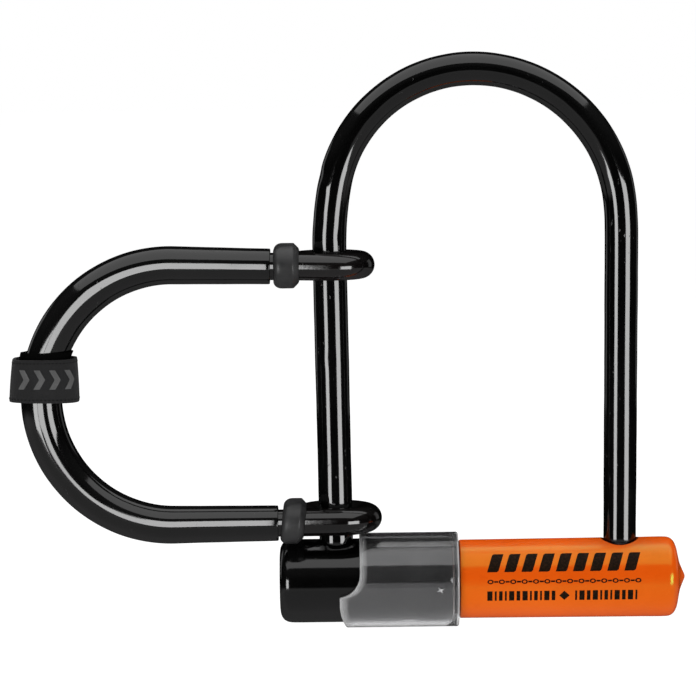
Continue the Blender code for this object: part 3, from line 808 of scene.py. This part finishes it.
def sleeve_print():
    """Plain geometric decoration: a row of leaning bars, a row of rings and dashes, and a row
    of small blocks."""
    left, right = 2.7, 59.3
    count, width, lean = 9, 4.1, 0.3
    pitch = (right - left - width - 7.2 * lean) / (count - 1)
    bars = [band_of(left + k * pitch, width, 4.6, 11.8, lean, 0.5) for k in range(count)]
    inked("print_bars", bars)
    chain, count = [], 14
    pitch = (right - left - 2.4) / (count - 1)
    for k in range(count):
        at = left + 1.2 + k * pitch
        chain += ringlet(at, 1.05, 1.15, 0.6)
        if k < count - 1:
            chain.append(band_of(at + 1.35, pitch - 2.7, 0.75, 1.35))
    inked("print_chain", chain)
    small, x, k = [], left, 0
    widths = [1.9, 0.7, 1.3, 0.7, 1.9, 1.3]
    while x + widths[k % 6] < right:
        if not 27.9 < x < 33.0:
            small.append(band_of(x, widths[k % 6], -6.3, -2.45))
        x += widths[k % 6] + 0.85
        k += 1
    small.append([(31.0, -6.2), (32.9, -4.35), (31.0, -2.5), (29.1, -4.35)])
    inked("print_blocks", small)


# ------------------------------------------------------------------ dust cover


# (height, x of the cover's left edge)
COVER_EDGE = [
    (-17.6, -48.9), (-16.3, -49.45), (-14.3, -50.2), (-11.9, -50.9), (-8.6, -51.45),
    (-4.3, COVER_LEFT), (-4.05, -51.3), (-3.9, -50.9), (-3.72, -50.2), (-3.4, -49.3),
    (-2.95, -48.4), (-2.2, -47.3), (-0.8, -45.9), (1.1, -44.8), (2.9, -44.2), (5.0, -44.0),
    (18.0, -44.0),
]


def cover_edge(z):
    """Where the cover's left edge is at a height: a tongue below, stepped back above."""
    for (z0, x0), (z1, x1) in zip(COVER_EDGE, COVER_EDGE[1:]):
        if z <= z1:
            return x0 + (x1 - x0) * max(0.0, (z - z0) / (z1 - z0))
    return COVER_EDGE[-1][1]


def cover_section(left):
    """The wall's outline as (x, radius): round edges, and a lip turned in on the right."""
    edge, corner, lip = 0.42, 0.7, 2.0
    section = [(left + back, COVER_BORE + inset) for back, inset in rounded(edge)]
    section += [(left + inset, COVER_R - back) for back, inset in rounded(edge)]
    first, last = left + edge, COVER_RIGHT - corner
    section += [(first + (last - first) * k / 14, COVER_R) for k in range(1, 14)]
    section += [(COVER_RIGHT - back, COVER_R - inset) for back, inset in rounded(corner, 6)]
    section += [(COVER_RIGHT, COVER_LIP + 0.3), (COVER_RIGHT - 0.1, COVER_LIP + 0.08)]
    section += [(COVER_RIGHT - 0.3, COVER_LIP), (COVER_RIGHT - lip + 0.2, COVER_LIP)]
    section += [(COVER_RIGHT - lip, COVER_LIP + 0.2), (COVER_RIGHT - lip, COVER_BORE - 0.5)]
    section += [(COVER_RIGHT - lip - 0.15, COVER_BORE - 0.15)]
    section += [(COVER_RIGHT - lip - 0.5, COVER_BORE)]
    first, last = COVER_RIGHT - lip - 0.5, left + edge
    section += [(first + (last - first) * k / 14, COVER_BORE) for k in range(1, 14)]
    return section


def dust_cover():
    # rings stand closer together where the left edge steps
    fine = [-14.6 + 0.2 * k for k in range(160)]
    turns = sorted(set(
        [round(t, 3) for t in fine] + [round(180 - t, 3) for t in fine]
        + [float(t) for t in range(-90, 270, 2)]
    ))
    rings = []
    for degrees in turns:
        t = math.radians(degrees)
        section = cover_section(cover_edge(COVER_R * math.sin(t)))
        rings.append([Vector((x, r * math.cos(t), r * math.sin(t))) for x, r in section])
    points, faces = loft(rings, loop=True)
    made = make(
        "dust_cover_shell", points, faces, SMOKE, "cover", ("dust_cover",), "cover_smoke", sharp=50
    )
    carve(made, [upright(KEY_X, KEY_HOLE_R, 8, 20, lean=WINDOW_TILT)], sharp=50)
    # the trimmed edges are painted paler and less clear than the wall: a painted highlight along
    # the edges
    painted_edge_highlight = made.data.attributes.new("edge", "FLOAT", "POINT")
    for vertex in made.data.vertices:
        at = (made.matrix_world @ vertex.co - ORIGIN) * 1000
        gap = min(at.x - cover_edge(at.z), COVER_RIGHT - at.x)
        painted_edge_highlight.data[vertex.index].value = max(0.0, min(1.0, (0.62 - gap) / 0.3))


def cover_stub():
    """The stub left by the mould's gate, a small cross."""
    points, faces = [], []
    for layer, size in ((-0.2, 1.0), (0.28, 1.0), (0.42, 0.8)):
        for k in range(16):
            t = 2 * math.pi * k / 16 + 0.5
            far = (1.7, 0.75, 0.5, 0.75)[k % 4] * size
            x, up = -14.5 + far * math.cos(t), -1.3 + 0.75 * far * math.sin(t)
            r = COVER_R + layer
            points.append(Vector((x, -math.sqrt(r * r - up * up), up)))
    for a in (0, 16):
        faces += [[a + k, a + (k + 1) % 16, a + 16 + (k + 1) % 16, a + 16 + k] for k in range(16)]
    faces += [list(range(16)), list(range(32, 48))[::-1]]
    make("dust_cover_gate_stub", points, faces, STUB, "cover", (), "cover_smoke", sharp=30)


# ------------------------------------------------------------------ strap


def lane(share):
    """A point round the band's flattened oval, share 0 to 1 from the right, by the front."""
    turn = -2 * math.pi * share
    c, s = math.cos(turn), math.sin(turn)
    power = 2 / 2.9
    return (
        STRAP_X + STRAP_HALF_X * math.copysign(abs(c) ** power, c),
        -EYE_R + STRAP_HALF_Y * math.copysign(abs(s) ** power, s),
    )


def lane_table(count=720):
    """Places round the oval, and the length of the way to each."""
    spots = [Vector((*lane(k / count), 0)) for k in range(count + 1)]
    lengths = [0.0]
    for a, b in zip(spots, spots[1:]):
        lengths.append(lengths[-1] + (b - a).length)
    return spots, lengths


def at_length(table, along):
    """The place at a length round the oval, and the direction out of it."""
    spots, lengths = table
    along %= lengths[-1]
    low, high = 0, len(lengths) - 1
    while high - low > 1:
        mid = (low + high) // 2
        low, high = (mid, high) if lengths[mid] <= along else (low, mid)
    share = (along - lengths[low]) / max(1e-9, lengths[high] - lengths[low])
    place = spots[low].lerp(spots[high], share)
    ahead = (spots[high] - spots[low]).normalized()
    out = Vector((-ahead.y, ahead.x, 0))
    return place, out if out.dot(place - Vector((STRAP_X, -EYE_R, 0))) > 0 else -out


def band_top(x):
    return 85.35 + 0.05 * (x - STRAP_X + STRAP_HALF_X) / (2 * STRAP_HALF_X)


def band_taper(x, share):
    """The band's top is drawn in a little and sits to the right of its foot."""
    return (x - STRAP_X) * (0.004 - 0.084 * share) + 0.01 + 0.45 * share


def band_foot(x):
    return 69.95 - 0.45 * (x - STRAP_X + STRAP_HALF_X) / (2 * STRAP_HALF_X)


def strap():
    table = lane_table()
    total, thick = table[1][-1], 1.45
    around, up = 240, 34
    rings, flat = [], []
    for k in range(around):
        along = total * k / around
        place, out = at_length(table, along)
        low, high = band_foot(place.x), band_top(place.x)
        ring = []
        for j in range(up + 1):
            share = j / up
            hem = 0.10 * (1 - min(1.0, min(share, 1 - share) / 0.04)) ** 2
            belly = 0.18 * math.sin(math.pi * share) - 0.12
            ripple = wave(along, (7.3, 0.05, share * 4), (19.0, 0.08, share * 2))
            ring.append((share, -hem + belly * 0.5 + ripple * 0.5))
        ring += [(j / up, -thick + 0.1) for j in range(up, -1, -1)]
        spots = []
        for share, push in ring:
            z = low + (high - low) * share
            spots.append(place + out * push + Vector((band_taper(place.x, share), 0, z)))
            flat.append((along, z))
        rings.append(spots)
    points, faces = loft(rings, loop=True)
    band = make(
        "strap_outer", points, faces, WEB, "extender", ("strap_band",), "strap_webbing", 60, flat
    )
    seam = stitches(table, total)
    motif = motif_on(table, total)
    inner = inner_turn()


def stitches(table, total):
    """Sewn hems: a row of stitches along each edge."""
    points, faces, flat = [], [], []
    for row in (0.075, 0.925):
        count = 52
        for k in range(count):
            along = total * (k + 0.2) / count
            place, out = at_length(table, along)
            ahead = Vector((-out.y, out.x, 0))
            low, high = band_foot(place.x), band_top(place.x)
            drawn = band_taper(place.x, row)
            centre = place + Vector((drawn, 0, low + (high - low) * row)) + out * 0.02
            base = len(points)
            length, width = 0.42, 0.13
            rings = []
            for j in range(5):
                t = (j - 2) / 2
                size = width * math.sqrt(max(0.05, 1 - t * t * 0.95))
                ring = []
                for m in range(6):
                    a = 2 * math.pi * m / 6
                    ring.append(centre + ahead * length * t + out * size * math.cos(a) * 0.8
                                + Vector((0, 0, size * math.sin(a))))
                rings.append(ring)
            more, more_faces = loft(rings)
            points += more
            faces += [[base + v for v in f] for f in more_faces]
            flat += [(along, 0.0)] * len(more)
    return make(
        "strap_stitches", points, faces, WEB_DARK, "extender", (), "strap_webbing", 60, flat
    )


def motif_on(table, total):
    """A woven row of chevrons round the front of the band."""
    points, faces, flat = [], [], []
    front = total / 4  # the middle of the front, by length from the right
    pitch, tall, stroke = 5.9, 7.0, 2.3
    for k in range(4):
        start = front + 6.9 - k * pitch
        rows = 16
        for half in (0, 1):
            rings = []
            for j in range(rows + 1):
                t = j / rows
                height = (t * tall / 2) if half == 0 else (tall / 2 + t * tall / 2)
                reach = 2.1 * (1 - abs(2 * height / tall - 1))
                cells = []
                for m in range(7):
                    a = start - reach + stroke * m / 6
                    cells.append((a, height))
                rings.append(cells)
            base = len(points)
            for cells in rings:
                for layer in (0.16, -0.12):
                    for a, height in cells if layer > 0 else reversed(cells):
                        place, out = at_length(table, a)
                        low, high = band_foot(place.x), band_top(place.x)
                        z = (low + high) / 2 - tall / 2 + 0.75 + height
                        drawn = band_taper(place.x, (z - low) / (high - low))
                        points.append(place + out * layer + Vector((drawn, 0, z)))
                        flat.append((a, z))
            count = 14
            for j in range(rows):
                for m in range(count):
                    n = (m + 1) % count
                    a, b = base + j * count, base + (j + 1) * count
                    faces.append([a + m, a + n, b + n, b + m])
            faces.append([base + m for m in range(count)])
            faces.append([base + rows * count + m for m in range(count)][::-1])
    return make("strap_motif", points, faces, THREAD, "extender", (), "strap_webbing", 60, flat)


def inner_turn():
    """The band's first turn, snug round the sleeve, with its end standing off at the left."""
    around, up = 160, 26
    rings, flat = [], []
    for k in range(around):
        turn = 2 * math.pi * k / around
        c, s = math.cos(turn), math.sin(turn)
        # the end of the tape lies off the sleeve at the left and front
        off = math.exp(-(((math.degrees(turn) - 190) / 17) ** 4))
        top = 87.75 + 0.05 * c + 0.08 * math.sin(3 * turn)
        foot = 70.6
        ring = []
        for layer, order in ((1, range(up + 1)), (0, range(up, -1, -1))):
            for j in order:
                share = j / up
                z = foot + (top - foot) * share
                lean = math.asin(max(-1.0, min(1.0, (z - D_MID_Z) / D_R)))
                middle = D_CENTRE_X - D_R * math.cos(lean)
                reach = D_THICK + 0.12 + 0.75 * layer
                x = middle + reach / math.cos(lean) * c
                y = -EYE_R + reach * s
                if off > 0.01:
                    x -= 1.25 * off * (0.4 + 0.6 * share)
                    y -= 0.2 * off
                ring.append(Vector((x, y, z)))
                flat.append((8.3 * turn, z))
        rings.append(ring)
    points, faces = loft(rings, loop=True)
    return make(
        "strap_inner", points, faces, WEB_DARK, "extender", ("strap_tab",), "strap_webbing", 60,
        flat,
    )


# ------------------------------------------------------------------ build

shackle()
extender()
collar("upper_collar_ring", "upper_collar", 0.09, 0.0, -0.15)
collar("lower_collar_ring", "lower_collar", 0.09, 0.11, -0.45)
jacket()
orange()
sleeve_print()
dust_cover()
cover_stub()
strap()

# CAD nodes that stay get a finer finish
FINISHES = {
    GROUND: ["left_deadbolt", "right_deadbolt"],
    BLUED: ["shackle_bar", "crossbar_tube", "left_leg_socket", "right_leg_socket"],
    TURNED: ["left_end_plug", "right_end_plug", "left_plug_pin", "right_plug_pin", "cylinder_pin",
             "cylinder_core", "sidebar", "drive_cam", "cam_circlip",
             *[f"disc_spacer_{k}" for k in range(1, 7)]],
    DRILL: ["cylinder_face_plate"],
    BRASS: ["cylinder_housing", *[f"lock_disc_{k}" for k in range(1, 8)]],
    ACETAL: ["left_bolt_guide", "right_bolt_guide"],
}
for finish, names in FINISHES.items():
    for name in names:
        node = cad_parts[name]
        node.data.materials.clear()
        node.data.materials.append(finish.material)

# ------------------------------------------------------------------ studio

scene = bpy.context.scene
scene.view_settings.view_transform = "Standard"


def softbox(name, centre, target, width, height, radiance):
    """A rectangular light. centre and target are in millimetres."""
    light = bpy.data.lights.new(name, "AREA")
    light.shape, light.size, light.size_y = "RECTANGLE", width / 1000, height / 1000
    light.energy = radiance * math.pi * light.size * light.size_y
    obj = bpy.data.objects.new(name, light)
    scene.collection.objects.link(obj)
    obj.location = spot(centre)
    obj.rotation_mode = "QUATERNION"
    obj.rotation_quaternion = (spot(target) - spot(centre)).to_track_quat("-Z", "Y")
    obj.visible_camera = False
    return obj


middle = (-47, 0, 60)
softbox("left_softbox", (-885, -1175, -20), middle, 550, 560, 8.6)
softbox("right_softbox", (930, -1010, -20), middle, 720, 560, 8.0)
# lights the extender's rod and sleeve alone
arms_light = softbox("arms_softbox", (-202, -520, 120), (-202, 0, 120), 265, 310, 8.0)
lit = bpy.data.collections.new("extender_only")
for name in ("extender_rod", "extender_sleeve_vinyl"):
    lit.objects.link(bpy.data.objects[name])
arms_light.light_linking.receiver_collection = lit
softbox("top_softbox", (-40, -330, 1150), (-40, -330, 0), 2400, 1700, 1.15)
# lights surfaces, but is not mirrored in them or seen through the cover
fill = softbox("fill_softbox", (-40, 420, 1100), (-40, 0, 0), 1600, 900, 5.2)
fill.visible_glossy = fill.visible_transmission = False
softbox("back_left_softbox", (-1100, 900, 250), middle, 420, 700, 0.45)
softbox("back_right_softbox", (1100, 900, 250), middle, 420, 700, 0.28)

world = bpy.data.worlds.new("studio")
scene.world = world
world.use_nodes = True
tree = world.node_tree
tree.nodes.clear()
where = tree.nodes.new("ShaderNodeTexCoord")
split = tree.nodes.new("ShaderNodeSeparateXYZ")
shade = tree.nodes.new("ShaderNodeValToRGB")
stretch = tree.nodes.new("ShaderNodeMapRange")
stretch.inputs["From Min"].default_value, stretch.inputs["From Max"].default_value = -1, 1
tree.links.new(where.outputs["Generated"], split.inputs[0])
tree.links.new(split.outputs["Z"], stretch.inputs["Value"])
tree.links.new(stretch.outputs[0], shade.inputs[0])
# brightness from straight down (0) through the horizon (0.5) to straight up (1)
ramp = shade.color_ramp
ramp.elements[0].position, ramp.elements[0].color = 0.0, (0.31, 0.306, 0.31, 1)
ramp.elements[1].position, ramp.elements[1].color = 1.0, (0.08, 0.08, 0.08, 1)
for place, value in (
    (0.33, 0.31), (0.36, 0.36), (0.385, 0.35), (0.415, 0.012), (0.60, 0.012), (0.72, 0.05)
):
    ramp.elements.new(place).color = (value, value, value, 1)
glow, plain = tree.nodes.new("ShaderNodeBackground"), tree.nodes.new("ShaderNodeBackground")
# the studio is darker behind the object than in front of it
behind = tree.nodes.new("ShaderNodeMapRange")
behind.inputs["From Min"].default_value, behind.inputs["From Max"].default_value = 0.0, 0.95
behind.inputs["To Min"].default_value, behind.inputs["To Max"].default_value = 1.0, 0.1
tree.links.new(split.outputs["Y"], behind.inputs["Value"])
tree.links.new(behind.outputs[0], glow.inputs["Strength"])
seen = tree.nodes.new("ShaderNodeLightPath")
mixed = tree.nodes.new("ShaderNodeMixShader")
tree.links.new(shade.outputs[0], glow.inputs["Color"])
plain.inputs["Color"].default_value = (1, 1, 1, 1)
tree.links.new(seen.outputs["Is Camera Ray"], mixed.inputs[0])
tree.links.new(glow.outputs[0], mixed.inputs[1])
tree.links.new(plain.outputs[0], mixed.inputs[2])
out = tree.nodes.new("ShaderNodeOutputWorld")
tree.links.new(mixed.outputs[0], out.inputs[0])

# a wide pale floor that fades into the white behind it
floor_mesh = bpy.data.meshes.new("floor")
work = bmesh.new()
bmesh.ops.create_circle(work, cap_ends=True, segments=96, radius=9.0)
work.to_mesh(floor_mesh)
work.free()
floor = bpy.data.objects.new("floor", floor_mesh)
scene.collection.objects.link(floor)
floor.location.z = cad_low.z - 0.0001
pale = Finish("pale_floor", (0.06, 0.06, 0.06), 0.9)
pale.roughen(pale.span(pale.noise(30.0), 0.3, 0.7, 0.85, 0.95))
pale.set("Emission Color", (1, 1, 1, 1))
pale.set("Emission Strength", 1.0)
floor_mesh.materials.append(pale.material)
floor.visible_glossy = False
floor.visible_shadow = False

# a place in millimetres, two turns in degrees and the focal length in millimetres
CAMERA_AT, CAMERA_DOWN, CAMERA_ROLL, CAMERA_LENS = (-47.3, -1200.0, 200.4), 5.42, -0.72, 169.1
camera_data = bpy.data.cameras.new("camera")
camera_data.lens, camera_data.sensor_width = CAMERA_LENS, 36.0
camera_data.clip_start, camera_data.clip_end = 0.05, 30.0
camera = bpy.data.objects.new("camera", camera_data)
scene.collection.objects.link(camera)
camera.matrix_world = (
    Matrix.Translation(spot(CAMERA_AT))
    @ Matrix.Rotation(math.radians(90 - CAMERA_DOWN), 4, "X")
    @ Matrix.Rotation(math.radians(CAMERA_ROLL), 4, "Z")
)
scene.camera = camera
